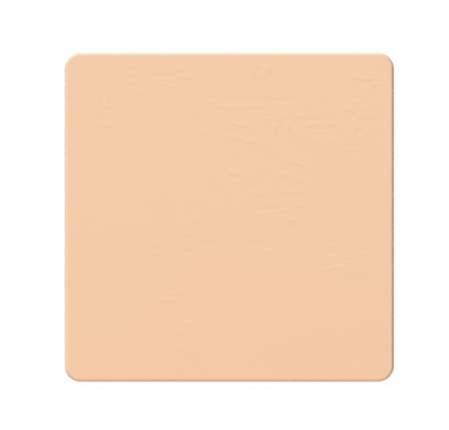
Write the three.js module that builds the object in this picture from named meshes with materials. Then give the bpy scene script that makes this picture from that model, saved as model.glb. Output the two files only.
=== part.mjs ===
// Film-backed foam wound dressing: an absorbent foam pad under a skin-coloured film.
// Millimetres, +Z up. It lies flat, and the origin is the middle of its wound face.

import * as THREE from 'three';
import { mergeVertices, toCreasedNormals } from 'three/addons/utils/BufferGeometryUtils.js';

// Die-cut outline, seen from above.
const padWidth = 100;
const padLength = 100;
const cornerRadius = 5;

// The two layers, through the middle of the pad.
const foamThickness = 4.45;
const filmThickness = 0.05;

// Rolled rim: the die draws the film down over the edge of the foam before it cuts through.
const rollWidth = 0.55;
const rollDrop = 2.25;

// Cut side of the foam. It springs out below the film's cut edge, and its lower edge is soft.
const wallDraft = 0.4;
const footRadius = 0.3;

// Facets of each curve.
const cornerSteps = 12;
const rollSteps = 8;
const footSteps = 3;

const quarterTurn = Math.PI / 2;
const creaseAngle = Math.PI / 5;
const filmEdgeHeight = foamThickness + filmThickness - rollDrop;

const filmMaterial = new THREE.MeshStandardMaterial({ color: 0xf3cba9, roughness: 0.5, metalness: 0 });
const foamMaterial = new THREE.MeshStandardMaterial({ color: 0xf1e6d2, roughness: 0.95, metalness: 0 });

// The rounded square that lies a given distance inside the outline, anticlockwise from above.
function outline(inset) {
  const radius = cornerRadius - inset;
  return [[1, 1], [-1, 1], [-1, -1], [1, -1]].flatMap(([sideX, sideY], corner) => {
    const centreX = sideX * (padWidth / 2 - cornerRadius);
    const centreY = sideY * (padLength / 2 - cornerRadius);
    const start = corner * quarterTurn;
    return new THREE.EllipseCurve(centreX, centreY, radius, radius, start, start + quarterTurn)
      .getPoints(cornerSteps);
  });
}

// The section of the rolled rim a given depth below the film's outer skin, from the flat face
// down to the cut edge. Each point is (inset from the outline, height).
function rollSection(depth) {
  return new THREE.EllipseCurve(
    wallDraft + rollWidth, filmEdgeHeight, rollWidth - depth, rollDrop - depth,
    quarterTurn, 2 * quarterTurn,
  ).getPoints(rollSteps);
}

// The soft lower edge of the foam, from its widest point down to the wound face.
function footSection() {
  return new THREE.EllipseCurve(
    footRadius, footRadius, footRadius, footRadius, 2 * quarterTurn, 3 * quarterTurn,
  ).getPoints(footSteps);
}

// A closed layer: the section carried round the outline, with a flat face at each of its ends.
// The first face looks up and the last one down.
function layer(name, section, material) {
  const rings = section.map(({ x: inset }) => outline(inset));
  const around = rings[0].length;
  const positions = rings.flatMap((ring, level) => ring.flatMap(({ x, y }) => [x, y, section[level].y]));

  const triangles = THREE.ShapeUtils.triangulateShape(rings[0], []).flat();
  for (let level = 0; level < rings.length - 1; level += 1) {
    for (let step = 0; step < around; step += 1) {
      const here = level * around + step;
      const next = level * around + (step + 1) % around;
      triangles.push(here, here + around, next + around, here, next + around, next);
    }
  }
  const lastLevel = (rings.length - 1) * around;
  for (const [a, b, c] of THREE.ShapeUtils.triangulateShape(rings.at(-1), [])) {
    triangles.push(lastLevel + a, lastLevel + c, lastLevel + b);
  }

  const geometry = new THREE.BufferGeometry();
  geometry.setAttribute('position', new THREE.Float32BufferAttribute(positions, 3));
  geometry.setIndex(triangles);
  const mesh = new THREE.Mesh(toCreasedNormals(mergeVertices(geometry), creaseAngle), material);
  mesh.name = name;
  return mesh;
}

// The film's cut edge lies on a step in the foam as wide as the film is thick.
const filmEdge = new THREE.Vector2(wallDraft, filmEdgeHeight);

const backingFilm = layer(
  'backing_film',
  [...rollSection(0), ...rollSection(filmThickness).reverse()],
  filmMaterial,
);
const foamPad = layer(
  'foam_pad',
  [...rollSection(filmThickness), filmEdge, ...footSection()],
  foamMaterial,
);

const dressing = new THREE.Group();
dressing.add(backingFilm, foamPad);

export default dressing;
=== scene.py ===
import math

import bmesh
import bpy
import numpy as np
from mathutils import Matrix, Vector, noise


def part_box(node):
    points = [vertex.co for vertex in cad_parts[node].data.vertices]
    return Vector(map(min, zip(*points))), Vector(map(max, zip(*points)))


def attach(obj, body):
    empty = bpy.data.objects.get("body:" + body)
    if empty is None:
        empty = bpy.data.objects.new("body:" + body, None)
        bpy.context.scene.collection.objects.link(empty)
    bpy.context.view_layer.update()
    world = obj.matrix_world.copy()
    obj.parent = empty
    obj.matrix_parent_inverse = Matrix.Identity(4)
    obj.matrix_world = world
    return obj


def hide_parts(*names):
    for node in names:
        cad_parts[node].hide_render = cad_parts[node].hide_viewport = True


mm = 0.001
tiny = 0.001 * mm
white = (1, 1, 1, 1)

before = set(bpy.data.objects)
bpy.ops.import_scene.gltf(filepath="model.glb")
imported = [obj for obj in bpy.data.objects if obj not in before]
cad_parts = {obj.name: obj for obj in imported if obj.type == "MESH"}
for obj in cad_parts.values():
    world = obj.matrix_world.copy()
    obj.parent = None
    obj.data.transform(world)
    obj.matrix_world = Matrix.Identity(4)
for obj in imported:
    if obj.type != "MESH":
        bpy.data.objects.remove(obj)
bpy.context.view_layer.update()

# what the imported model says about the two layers
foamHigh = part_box("foam_pad")[1]
filmLow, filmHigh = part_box("backing_film")
halfX, halfY = foamHigh.x, foamHigh.y
padTop = filmHigh.z
foamTop = foamHigh.z
filmEdgeHeight = filmLow.z
wallDraft = foamHigh.x - filmHigh.x
filmThickness = filmHigh.z - foamHigh.z
print(f"frame: pad {2 * halfX / mm:.1f} x {2 * halfY / mm:.1f} x {padTop / mm:.2f} mm")

# die-cut outline and rolled rim, which both layers follow
rim = {
    "cornerRadius": 5 * mm,
    "rollWidth": 0.55 * mm,
    "footRadius": 0.3 * mm,
    "wander": 0.025 * mm,  # how far the cut may stray from a true line, inwards
    "wanderLength": 14 * mm,
    "sharpAngle": 50,  # degrees past which an edge is shaded sharp
}


def selectOnly(piece):
    bpy.ops.object.select_all(action="DESELECT")
    piece.select_set(True)
    bpy.context.view_layer.objects.active = piece


def getPoints(piece):
    points = np.empty(len(piece.data.vertices) * 3)
    piece.data.vertices.foreach_get("co", points)
    return points.reshape(-1, 3)


def setPoints(piece, points):
    piece.data.vertices.foreach_set("co", points.ravel())
    piece.data.update()


def outlinePoint(x, y, inset):
    # the point of the rounded square, that far inside the outline, that lies straight out from x, y
    coreX, coreY = halfX - rim["cornerRadius"], halfY - rim["cornerRadius"]
    nearX, nearY = max(-coreX, min(coreX, x)), max(-coreY, min(coreY, y))
    out = Vector((x - nearX, y - nearY)).normalized()
    stray = noise.noise(Vector((x, y, 0)) / rim["wanderLength"]) * rim["wander"]
    reach = rim["cornerRadius"] - inset - abs(stray)
    return nearX + out.x * reach, nearY + out.y * reach


def ellipseSteps(middle, radii, start, end, steps):
    # points of a quarter round in the rim's section, as (inset, height), without the first one
    for step in range(1, steps + 1):
        angle = math.radians(start + (end - start) * step / steps)
        yield middle[0] + radii[0] * math.cos(angle), middle[1] + radii[1] * math.sin(angle)


def roundedGrid(name, cells, inset, height):
    # a fine square grid whose corners are drawn in to the round corners of the pad
    bpy.ops.object.select_all(action="DESELECT")
    bpy.ops.mesh.primitive_grid_add(x_subdivisions=cells, y_subdivisions=cells, size=2)
    piece = bpy.context.object
    piece.name = name
    bpy.ops.object.mode_set(mode="EDIT")
    bpy.ops.mesh.select_all(action="SELECT")
    bpy.ops.transform.resize(value=(halfX - inset, halfY - inset, 1))
    bpy.ops.transform.translate(value=(0, 0, height))
    bpy.ops.object.mode_set(mode="OBJECT")
    points = getPoints(piece)
    radius = rim["cornerRadius"] - inset
    core = np.array([halfX, halfY]) - rim["cornerRadius"]
    past = (np.abs(points[:, :2]) - core) / radius
    inCorner = (past > 0).all(1)
    beyond = past[inCorner]
    drawnIn = beyond * (beyond.max(1) / np.linalg.norm(beyond, axis=1))[:, None]
    points[inCorner, :2] = np.sign(points[inCorner, :2]) * (core + drawnIn * radius)
    setPoints(piece, points)
    return piece


def growRim(piece, section, edgeCuts=0):
    # the open edge is extruded once for each (inset, height), and the last ring is closed with a fan
    selectOnly(piece)
    bpy.ops.object.mode_set(mode="EDIT")
    bpy.ops.mesh.select_mode(type="EDGE")
    bpy.ops.mesh.select_all(action="DESELECT")
    bpy.ops.mesh.select_non_manifold()
    if edgeCuts:
        bpy.ops.mesh.subdivide(number_cuts=edgeCuts, ngon=False)
        bpy.ops.mesh.select_all(action="DESELECT")
        bpy.ops.mesh.select_non_manifold()
    for inset, height in section:
        bpy.ops.mesh.extrude_region_move()
        mesh = bmesh.from_edit_mesh(piece.data)
        for vertex in mesh.verts:
            if vertex.select:
                x, y = outlinePoint(vertex.co.x, vertex.co.y, inset)
                vertex.co = (x, y, height)
        bmesh.update_edit_mesh(piece.data)
    bpy.ops.mesh.edge_face_add()
    bpy.ops.mesh.poke()
    bpy.ops.mesh.select_all(action="SELECT")
    bpy.ops.mesh.normals_make_consistent(inside=False)
    bpy.ops.object.mode_set(mode="OBJECT")
    bpy.ops.object.shade_smooth_by_angle(angle=math.radians(rim["sharpAngle"]))


# absorbent foam: its wound face and cut sides show the open cells
foam = {
    "cells": 230,  # grid cells along a side of the wound face
    "edgeCuts": 1,  # more cuts in each cell all the way up the sides
    "footSteps": 3,
    "wallSteps": 12,
    "rollSteps": 4,
    "poreSpacing": 1.1 * mm,
    "poreReach": (0.25, 0.6),  # smallest and largest radius, as shares of the spacing
    "poreDepth": 0.1 * mm,
    "sideShare": 0.45,  # the blade presses the cells of the cut sides partly shut
    "faceBand": 0.1 * mm,  # points lower than this belong to the wound face
    "filmMargin": 0.1 * mm,  # no pit comes nearer than this to the film's cut edge
    "shuffle": 10,  # spreads neighbouring pits over the random sizes
}


def foamSection():
    foot = rim["footRadius"]
    yield from ellipseSteps((foot, foot), (foot, foot), 270, 180, foam["footSteps"])
    for step in range(1, foam["wallSteps"] + 1):
        share = step / foam["wallSteps"]
        yield wallDraft * share, foot + (filmEdgeHeight - foot) * share
    yield wallDraft + filmThickness, filmEdgeHeight
    middle = (wallDraft + rim["rollWidth"], filmEdgeHeight)
    radii = (rim["rollWidth"] - filmThickness, foamTop - filmEdgeHeight)
    yield from ellipseSteps(middle, radii, 180, 90, foam["rollSteps"])


def openPores(piece):
    # the larger cells that the blade opened are round pits in the cut faces, and a mesh attribute keeps
    # how deep each point lies in its pit, for the painted shade in the foam's colour
    points = getPoints(piece)
    normals = np.empty(len(points) * 3)
    piece.data.vertex_normals.foreach_get("vector", normals)
    normals = normals.reshape(-1, 3)
    pit = np.zeros(len(points))
    smallest, largest = foam["poreReach"]
    for i in np.flatnonzero(points[:, 2] < filmEdgeHeight - foam["filmMargin"]):
        distances, middles = noise.voronoi(Vector(points[i]) / foam["poreSpacing"])
        reach = smallest + (largest - smallest) * noise.cell(middles[0] * foam["shuffle"])
        pit[i] = max(0, 1 - (distances[0] / reach) ** 2)
    pit[points[:, 2] > foam["faceBand"]] *= foam["sideShare"]
    points -= normals * (foam["poreDepth"] * pit)[:, None]
    points[:, 2] = np.maximum(points[:, 2], 0)
    setPoints(piece, points)
    piece.data.attributes.new("pit", "FLOAT", "POINT").data.foreach_set("value", pit)


foamPad = roundedGrid("foamPad", foam["cells"], rim["footRadius"], 0)
growRim(foamPad, foamSection(), edgeCuts=foam["edgeCuts"])
openPores(foamPad)
print("foam pad: die-cut sides and open cells")

# backing film: a thin skin drawn down over the rim, with fine creases where it was laid on the foam
film = {
    "cells": 284,  # grid cells along a side of the face
    "rollSteps": 8,
    "innerSteps": 3,
    "edgeFade": 1.5,  # millimetres over which the creases die out before the roll
    "deepest": 0.045,  # no groove reaches through the film, in millimetres
    "creaseWidth": 0.5,
    "creases": [  # middle x and y, length, turn, bend and height, in millimetres and degrees
        (6.5, 35.4, 35, -2, 0.4, -0.036),
        (13.3, 35.5, 19, -1, -0.3, -0.036),
        (30, 38.2, 12, 0, 0.2, -0.036),
        (36, 32.3, 9, 1, 0.3, 0.043),
        (3, 33.2, 18, -2, 0.3, 0.043),
        (3.5, 27.6, 14.5, -18, 0.4, 0.072),
        (4.7, 23, 17, -14, 0.5, 0.065),
        (0.5, 20.6, 8, -28, 0.3, 0.05),
        (-7.6, 30.8, 5.6, -36, 0.2, 0.072),
        (-9, 29.4, 4, -40, 0.1, -0.042),
        (14.2, 27.8, 4.5, 88, 0.2, 0.06),
        (17.4, 27, 4.5, -76, 0.3, 0.065),
        (24.4, 23.2, 10, -22, 0.5, 0.058),
        (27.2, 27.8, 13, 2, 0.2, 0.043),
        (24.6, 29.4, 7, 0, 0.1, -0.03),
        (27, 26.4, 12, -2, 0.2, -0.03),
        (-38.5, 29.2, 7, -19, 0.3, -0.045),
        (2.1, 13.1, 7, -16, 0.3, 0.08),
        (1.2, 11.6, 6, -14, 0.2, -0.042),
        (20.9, 12.2, 19, -28, 3.9, 0.08),
        (16, 17.2, 7, -3, 0.4, -0.036),
        (9.5, 6.8, 9.5, -15, 0.3, 0.065),
        (11.8, 2.6, 8.5, 6, -0.4, -0.045),
        (18.7, -1, 6.5, -6, 0.2, 0.05),
        (17.9, -3.8, 10, -3, 0.3, -0.045),
        (8.8, -8.5, 11, -12, 0.4, -0.045),
        (32.9, -9.8, 8, -27, 0.4, 0.065),
        (29.7, -10.9, 5, -12, 0.2, -0.042),
        (20.3, -16.7, 15, -7, 0.4, 0.036),
        (32.3, -15.2, 5, 0, 0.2, 0.05),
        (38.4, -19.6, 5, -16, 0.2, -0.036),
        (-12.1, -31.9, 5.5, 0, 0.3, 0.065),
        (-6.8, -34.2, 5, -30, 0.2, 0.05),
        (-14, -40.1, 6.5, -22, 0.3, 0.058),
        (-15.9, -23.3, 5.5, 4, 0.2, 0.043),
        (-4.5, -27.2, 5.5, -5, 0.2, 0.043),
        (-10.2, -0.9, 5, -6, 0.2, 0.043),
        (-5.7, -8.5, 10.5, -4, 0.2, -0.036),
        (-15.4, -10.6, 8.7, 0, 0.2, -0.036),
        (-37.4, 27.6, 6, -24, 0.3, 0.06),
        (-14.5, 44.3, 8, 2, 0.3, 0.05),
        (-14, 42, 6.5, -8, 0.4, 0.06),
        (-29.5, 45.8, 7, -16, 0.2, 0.05),
        (-37, 34.5, 5, 85, 0.2, 0.045),
        (-39.5, 35, 4.5, 88, 0.2, 0.04),
        (-16, 32, 7, -48, 0.8, 0.04),
        (-23, 33.8, 7, -10, 0.2, 0.045),
        (-5.2, 27.6, 6.5, -44, 0.2, 0.065),
        (-7.4, 25.6, 4, -46, 0.2, 0.05),
        (-22.5, 7.8, 6, 0, 0.2, 0.04),
        (-23, 5.5, 6, -28, 0.3, 0.045),
        (-13, -2.6, 7, -30, 0.3, 0.055),
        (-22.5, -9.4, 5, 0, 0.1, -0.04),
        (-22.5, -11, 4.5, 0, 0.1, 0.04),
        (-22.5, -12.4, 5, -5, 0.1, -0.04),
        (10.5, -10, 8, -14, 0.3, 0.055),
        (31, -10.8, 6, -24, 0.2, -0.042),
        (35, -14.2, 5, 20, 0.2, 0.05),
        (37.5, -16.6, 6, -30, 0.3, 0.05),
        (40, -11.3, 6, -4, 0.2, 0.045),
        (-19, -25.4, 9, 4, 0.2, 0.05),
        (-15, -37.6, 6, -38, 0.3, 0.05),
        (-13.6, -39.8, 6.5, -30, 0.3, 0.055),
        (-16.5, -42, 5, -40, 0.2, 0.045),
        (-12.4, -42.4, 5, -24, 0.3, 0.045),
        (3.2, -39.4, 3.6, 0, 0.1, 0.045),
        (3.2, -41.6, 3.6, -4, 0.1, -0.04),
        (39, -46.3, 4, -18, 0.1, 0.05),
        (46.3, -46, 3, 20, 0.1, 0.05),
        (6.3, 44.3, 5.4, -54, 0.1, 0.055),
        (8, 44.5, 5.3, 52, 0.1, 0.028),
        (9.1, 43.2, 6, -44, 0.1, 0.068),
        (10.9, 45, 4.8, -36, 0.1, 0.055),
        (39.9, 42.1, 8, -8, 0.2, 0.065),
        (19.8, 26.2, 3.5, -80, 0.2, 0.045),
        (37.8, 27.5, 6, -84, 0.4, 0.055),
        (40.4, 24, 5, -70, 0.3, 0.05),
        (20.6, 10.4, 14, -27, 1.2, 0.06),
    ],
    "rippleLength": 2.8,  # of the wrinkles in the patches, in millimetres
    "rippleSpacing": 0.95,
    "rippleTurn": -13,
    "ripples": [  # middle x and y, reach along x and y, and height, in millimetres
        (-22, 41, 13, 6, 0.06),
        (10, 43.5, 6, 4.5, 0.045),
        (41, 42, 7, 5, 0.075),
        (39, 26, 9, 8, 0.075),
        (-6, 29, 8, 5, 0.045),
        (20, 30, 14, 6, 0.06),
        (19, 6, 14, 9, 0.055),
        (33, -12, 9, 6, 0.065),
        (-14, -36, 7, 6, 0.045),
        (-14, -8, 11, 8, 0.03),
        (-12, -25, 10, 4, 0.03),
        (-38, 36, 7, 9, 0.045),
    ],
    "faintRipple": 0.004,  # height outside the patches
}


def filmSection():
    middle = (wallDraft + rim["rollWidth"], filmEdgeHeight)
    radii = (rim["rollWidth"], padTop - filmEdgeHeight)
    yield from ellipseSteps(middle, radii, 90, 180, film["rollSteps"])
    inner = (radii[0] - filmThickness, radii[1] - filmThickness)
    yield wallDraft + filmThickness, filmEdgeHeight
    yield from ellipseSteps(middle, inner, 180, 90, film["innerSteps"])


def creaseHeights(x, y):
    # each crease is a low ridge or groove on a shallow arc that dies out at both ends
    heights = np.zeros(len(x))
    for middleX, middleY, length, turn, bend, height in film["creases"]:
        cosine, sine = math.cos(math.radians(turn)), math.sin(math.radians(turn))
        along = ((x - middleX) * cosine + (y - middleY) * sine) * 2 / length
        across = (y - middleY) * cosine - (x - middleX) * sine - bend * (1 - along**2)
        fade = np.clip(1 - along**2, 0, 1)
        heights += height * fade * np.exp(-((across / film["creaseWidth"]) ** 2))
    return heights


def rippleHeights(x, y):
    # patches of fine wrinkles that run a little down to the right
    patch = np.full(len(x), film["faintRipple"])
    for middleX, middleY, reachX, reachY, height in film["ripples"]:
        patch += height * np.exp(-(((x - middleX) / reachX) ** 2) - ((y - middleY) / reachY) ** 2)
    cosine, sine = math.cos(math.radians(film["rippleTurn"])), math.sin(math.radians(film["rippleTurn"]))
    along = (x * cosine + y * sine) / film["rippleLength"]
    across = (y * cosine - x * sine) / film["rippleSpacing"]
    waves = np.array([noise.noise(Vector((a, b, 0))) for a, b in zip(along, across)])
    return patch * waves


def creaseFilm(piece):
    # only the face is creased, and it is smooth again where it meets the roll
    points = getPoints(piece)
    face = points[:, 2] > padTop - tiny
    x, y = points[face, 0] / mm, points[face, 1] / mm
    flatHalf = (halfX - wallDraft - rim["rollWidth"]) / mm
    fade = np.clip((flatHalf - np.maximum(np.abs(x), np.abs(y))) / film["edgeFade"], 0, 1)
    lift = np.maximum(creaseHeights(x, y) + rippleHeights(x, y), -film["deepest"])
    points[face, 2] += lift * fade * mm
    setPoints(piece, points)


backingFilm = roundedGrid("backingFilm", film["cells"], wallDraft + rim["rollWidth"], padTop)
growRim(backingFilm, filmSection())
creaseFilm(backingFilm)
print("backing film: rolled rim and creases")


def addNode(nodes, kind, place, **values):
    node = nodes.new(kind)
    node.location = place
    for name, value in values.items():
        setattr(node, name, value)
    return node


def startMaterial(name):
    material = bpy.data.materials.new(name)
    material.use_nodes = True
    return material, material.node_tree.nodes, material.node_tree.links


def addNoise(nodes, links, place, scale, detail, stretch=(1, 1, 1), turn=0):
    # noise on the piece's own coordinates, in metres, so a scale of 1000 gives spots of about 1 mm
    where = addNode(nodes, "ShaderNodeTexCoord", (place[0] - 400, place[1]))
    lay = addNode(nodes, "ShaderNodeMapping", (place[0] - 200, place[1]))
    lay.inputs["Rotation"].default_value = (0, 0, math.radians(turn))
    lay.inputs["Scale"].default_value = stretch
    texture = addNode(nodes, "ShaderNodeTexNoise", place)
    texture.inputs["Scale"].default_value = scale
    texture.inputs["Detail"].default_value = detail
    links.new(where.outputs["Object"], lay.inputs["Vector"])
    links.new(lay.outputs["Vector"], texture.inputs["Vector"])
    return texture.outputs["Fac"]


def addRamp(nodes, links, place, factor, stops):
    ramp = addNode(nodes, "ShaderNodeValToRGB", place)
    ramp.color_ramp.elements[0].position, ramp.color_ramp.elements[0].color = stops[0]
    ramp.color_ramp.elements[1].position, ramp.color_ramp.elements[1].color = stops[1]
    links.new(factor, ramp.inputs["Fac"])
    return ramp.outputs["Color"]


def addRange(nodes, links, place, factor, start, end):
    # carries the values from start[0] to end[0] over to those from start[1] to end[1]
    spread = addNode(nodes, "ShaderNodeMapRange", place)
    spread.inputs["From Min"].default_value, spread.inputs["To Min"].default_value = start
    spread.inputs["From Max"].default_value, spread.inputs["To Max"].default_value = end
    links.new(factor, spread.inputs["Value"])
    return spread.outputs["Result"]


def addBump(nodes, links, place, height, distance, under=None):
    bump = addNode(nodes, "ShaderNodeBump", place)
    bump.inputs["Strength"].default_value = 1
    bump.inputs["Distance"].default_value = distance
    links.new(height, bump.inputs["Height"])
    if under:
        links.new(under, bump.inputs["Normal"])
    return bump.outputs["Normal"]


# skin-coloured film: satin, with painted shade that deepens the tan towards the lower edge, a little
# deeper in broad clouds, and fine wrinkles
filmFinish = {
    "paleTan": (0.801, 0.531, 0.3495, 1),
    # the deeper tan serves both the random clouds and the painted shade towards the lower edge
    "deepTanAndShade": (0.8155, 0.5185, 0.337, 1),
    "paleUpTo": 0.43,  # sum of the cloud share and the painted edge shade below which the film is all pale
    "deepFrom": 0.74,
    "cloudScale": 26,
    "cloudTurn": 35,
    "cloudShare": 0.45,
    "edgeShadeShare": 0.5,
    "wrinkleScale": 420,
    "wrinkleTurn": 12,
    "wrinkleStretch": (1, 3, 1),
    "wrinkleDepth": 0.002 * mm,
    "grainScale": 2600,
    "grainDepth": 0.001 * mm,
    "sheenScale": 700,
    "roughness": (0.60, 0.66),
    "noiseSpan": (0.3, 0.7),  # the noise hardly leaves this span
    "specular": 0.3,
}


def filmMaterial():
    material, nodes, links = startMaterial("tanFilm")
    shader = nodes["Principled BSDF"]
    clouds = addNoise(nodes, links, (-900, 400), filmFinish["cloudScale"], 2, turn=filmFinish["cloudTurn"])
    where = addNode(nodes, "ShaderNodeTexCoord", (-1300, 700))
    place = addNode(nodes, "ShaderNodeSeparateXYZ", (-1100, 700))
    links.new(where.outputs["Object"], place.inputs["Vector"])
    # painted shade: the tan grows deeper from the upper edge down to the lower edge
    shadedLowerEdge = (-halfY, filmFinish["edgeShadeShare"])
    down = addRange(nodes, links, (-900, 700), place.outputs["Y"], (halfY, 0), shadedLowerEdge)
    depth = addNode(nodes, "ShaderNodeMath", (-700, 600), operation="MULTIPLY_ADD")
    depth.inputs[1].default_value = filmFinish["cloudShare"]
    links.new(clouds, depth.inputs[0])
    links.new(down, depth.inputs[2])
    pale = (filmFinish["paleUpTo"], filmFinish["paleTan"])
    deep = (filmFinish["deepFrom"], filmFinish["deepTanAndShade"])
    tan = addRamp(nodes, links, (-500, 500), depth.outputs["Value"], (pale, deep))
    links.new(tan, shader.inputs["Base Color"])
    sheen = addNoise(nodes, links, (-900, 100), filmFinish["sheenScale"], 3)
    smoothest, roughest = zip(filmFinish["noiseSpan"], filmFinish["roughness"])
    satin = addRange(nodes, links, (-600, 100), sheen, smoothest, roughest)
    links.new(satin, shader.inputs["Roughness"])
    stretch, turn = filmFinish["wrinkleStretch"], filmFinish["wrinkleTurn"]
    wrinkles = addNoise(nodes, links, (-900, -200), filmFinish["wrinkleScale"], 2, stretch, turn)
    folded = addBump(nodes, links, (-600, -200), wrinkles, filmFinish["wrinkleDepth"])
    grain = addNoise(nodes, links, (-900, -500), filmFinish["grainScale"], 2)
    embossed = addBump(nodes, links, (-300, -300), grain, filmFinish["grainDepth"], under=folded)
    links.new(embossed, shader.inputs["Normal"])
    shader.inputs["Specular IOR Level"].default_value = filmFinish["specular"]
    return material


# cream foam: fine open cells all over, with painted shade down in them and in the larger pits
foamFinish = {
    "wall": (0.80, 0.655, 0.500, 1),
    # painted shade: the darker colour down in the fine cells and the larger pits
    "shadedHollow": (0.56, 0.430, 0.300, 1),
    "fineScale": 2600,
    "fineDepth": 0.06 * mm,
    "fineShadeShare": 0.5,
    "fineWall": 0.5,  # distances from a fine cell's middle, as shares of the spacing
    "fineMiddle": 0.1,
    "pitShadeShare": 0.6,
    "roughness": 0.92,
    "specular": 0.25,
}


def foamMaterial():
    material, nodes, links = startMaterial("creamFoam")
    shader = nodes["Principled BSDF"]
    pit = addNode(nodes, "ShaderNodeAttribute", (-900, 300), attribute_name="pit")
    cells = addNode(nodes, "ShaderNodeTexVoronoi", (-900, 0), feature="SMOOTH_F1")
    cells.inputs["Scale"].default_value = foamFinish["fineScale"]
    where = addNode(nodes, "ShaderNodeTexCoord", (-1100, 0))
    links.new(where.outputs["Object"], cells.inputs["Vector"])
    cellWall = (foamFinish["fineWall"], 0)
    cellMiddle = (foamFinish["fineMiddle"], foamFinish["fineShadeShare"])
    fine = addRange(nodes, links, (-700, 0), cells.outputs["Distance"], cellWall, cellMiddle)
    # painted shade: the deeper a point lies in a pit or a fine cell, the darker the foam
    depth = addNode(nodes, "ShaderNodeMath", (-700, 300), operation="MULTIPLY_ADD")
    depth.inputs[1].default_value = foamFinish["pitShadeShare"]
    links.new(pit.outputs["Fac"], depth.inputs[0])
    links.new(fine, depth.inputs[2])
    stops = ((0, foamFinish["wall"]), (1, foamFinish["shadedHollow"]))
    cream = addRamp(nodes, links, (-500, 200), depth.outputs["Value"], stops)
    links.new(cream, shader.inputs["Base Color"])
    spongy = addBump(nodes, links, (-400, -200), cells.outputs["Distance"], foamFinish["fineDepth"])
    links.new(spongy, shader.inputs["Normal"])
    shader.inputs["Roughness"].default_value = foamFinish["roughness"]
    shader.inputs["Specular IOR Level"].default_value = foamFinish["specular"]
    return material


backingFilm.data.materials.append(filmMaterial())
foamPad.data.materials.append(foamMaterial())
print("materials: satin film and open-cell foam")

# photograph's view: straight down through a long lens
view = {
    "lens": 300,
    "sensor": 36,
    "pixels": (449, 430),
    "pixelsPerMm": 3.308,
    "padMiddle": (229.21, 217.25),  # in pixels from the picture's upper left corner
    "clipEnd": 20,
}
camera = bpy.data.objects.new("camera", bpy.data.cameras.new("camera"))
bpy.context.collection.objects.link(camera)
camera.data.lens = view["lens"]
camera.data.sensor_width = view["sensor"]
camera.data.clip_end = view["clipEnd"]
seenWidth = view["pixels"][0] / view["pixelsPerMm"] * mm
camera.location = (
    (view["pixels"][0] / 2 - view["padMiddle"][0]) / view["pixelsPerMm"] * mm,
    (view["padMiddle"][1] - view["pixels"][1] / 2) / view["pixelsPerMm"] * mm,
    padTop + seenWidth * view["lens"] / view["sensor"],
)
bpy.context.scene.camera = camera

# studio: white light table, a soft key from beyond the pad's upper edge and a little to the left, and a
# weak low light from beyond its lower edge
studio = {
    "distance": 12,  # of both lights from the pad, in metres
    "size": 4,
    "keyAzimuth": 117,
    "keyElevation": 45,
    "keyPower": 1644,
    "lowAzimuth": 265,
    "lowElevation": 20,
    "lowPower": 450,
    "fill": 0.22,  # strength of the white surroundings
    "table": 0.955,  # strength of the table's own light
    "tableColour": (0.045, 0.045, 0.045, 1),
    "tableRoughness": 0.9,
    "tableSize": 6,
}


def addArea(name):
    light = bpy.data.objects.new(name, bpy.data.lights.new(name, "AREA"))
    bpy.context.collection.objects.link(light)
    light.data.size = studio["size"]
    light.data.energy = studio[name + "Power"]
    azimuth, elevation = studio[name + "Azimuth"], studio[name + "Elevation"]
    level = math.cos(math.radians(elevation))
    across, along = math.cos(math.radians(azimuth)) * level, math.sin(math.radians(azimuth)) * level
    away = Vector((across, along, math.sin(math.radians(elevation))))
    light.location = away * studio["distance"]
    light.rotation_euler = away.to_track_quat("Z", "Y").to_euler()


addArea("key")
addArea("low")
world = bpy.data.worlds.new("studio")
world.use_nodes = True
world.node_tree.nodes["Background"].inputs["Color"].default_value = white
world.node_tree.nodes["Background"].inputs["Strength"].default_value = studio["fill"]
bpy.context.scene.world = world
bpy.context.scene.view_settings.view_transform = "Standard"

bpy.ops.object.select_all(action="DESELECT")
bpy.ops.mesh.primitive_plane_add(size=studio["tableSize"])
table = bpy.context.object
table.name = "lightTable"
tableMaterial, tableNodes, _ = startMaterial("lightTable")
tableShader = tableNodes["Principled BSDF"]
tableShader.inputs["Base Color"].default_value = studio["tableColour"]
tableShader.inputs["Roughness"].default_value = studio["tableRoughness"]
tableShader.inputs["Emission Color"].default_value = white
tableShader.inputs["Emission Strength"].default_value = studio["table"]
table.data.materials.append(tableMaterial)

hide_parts("foam_pad")
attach(foamPad, "root")

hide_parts("backing_film")
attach(backingFilm, "root")
